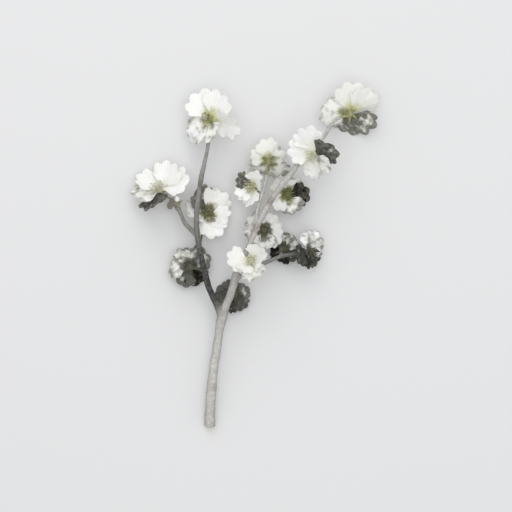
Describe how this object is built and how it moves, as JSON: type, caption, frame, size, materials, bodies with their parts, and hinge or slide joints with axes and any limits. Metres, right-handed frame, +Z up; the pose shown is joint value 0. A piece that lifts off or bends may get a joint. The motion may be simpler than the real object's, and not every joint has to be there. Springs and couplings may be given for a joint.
{
  "type": "pear blossom branch",
  "caption": "Cut, forked pear twig with open white blossoms and a bud, lying on a surface on its cut end and lowest petals",
  "frame": {"origin": "middle of the underside of the whole branch's box, on the surface it lies on", "axes": "+Y from the cut end to the tips, +Z up off the surface, +X across the branch to the right when seen from above"},
  "size_m": [0.1495, 0.2081, 0.0468],
  "materials": {
    "bark": "matt grey-beige bark, darker on the left limb, with pale pores",
    "petal": "satin white petal, slightly see-through, greenish at the claw",
    "calyx": "matt olive green, brown at the tips, finely hairy",
    "stamen": "pale yellow-green filaments with straw to brown anthers"
  },
  "bodies": {
    "root": {"branch_wood": "bark", "tip_left_petals": "petal", "tip_left_calyx": "calyx", "tip_left_stamens": "stamen", "twig_left_petals": "petal", "twig_left_calyx": "calyx", "twig_left_stamens": "stamen", "limb_left_upper_petals": "petal", "limb_left_upper_calyx": "calyx", "limb_left_upper_stamens": "stamen", "limb_left_lower_petals": "petal", "limb_left_lower_calyx": "calyx", "limb_left_lower_stamens": "stamen", "fork_petals": "petal", "fork_calyx": "calyx", "fork_stamens": "stamen", "limb_right_front_petals": "petal", "limb_right_front_calyx": "calyx", "limb_right_front_stamens": "stamen", "limb_right_back_petals": "petal", "limb_right_back_calyx": "calyx", "limb_right_back_stamens": "stamen", "limb_right_upper_petals": "petal", "limb_right_upper_calyx": "calyx", "limb_right_upper_stamens": "stamen", "limb_right_high_petals": "petal", "limb_right_high_calyx": "calyx", "limb_right_high_stamens": "stamen", "tip_right_petals": "petal", "tip_right_calyx": "calyx", "tip_right_stamens": "stamen", "side_inner_petals": "petal", "side_inner_calyx": "calyx", "side_inner_stamens": "stamen", "side_end_petals": "petal", "side_end_calyx": "calyx", "side_end_stamens": "stamen", "twig_middle_petals": "petal", "twig_middle_calyx": "calyx", "twig_middle_stamens": "stamen", "twig_middle_hanging_petals": "petal", "twig_middle_hanging_calyx": "calyx", "twig_middle_hanging_stamens": "stamen", "bud_petals": "petal", "bud_calyx": "calyx"}
  },
  "joints": []
}
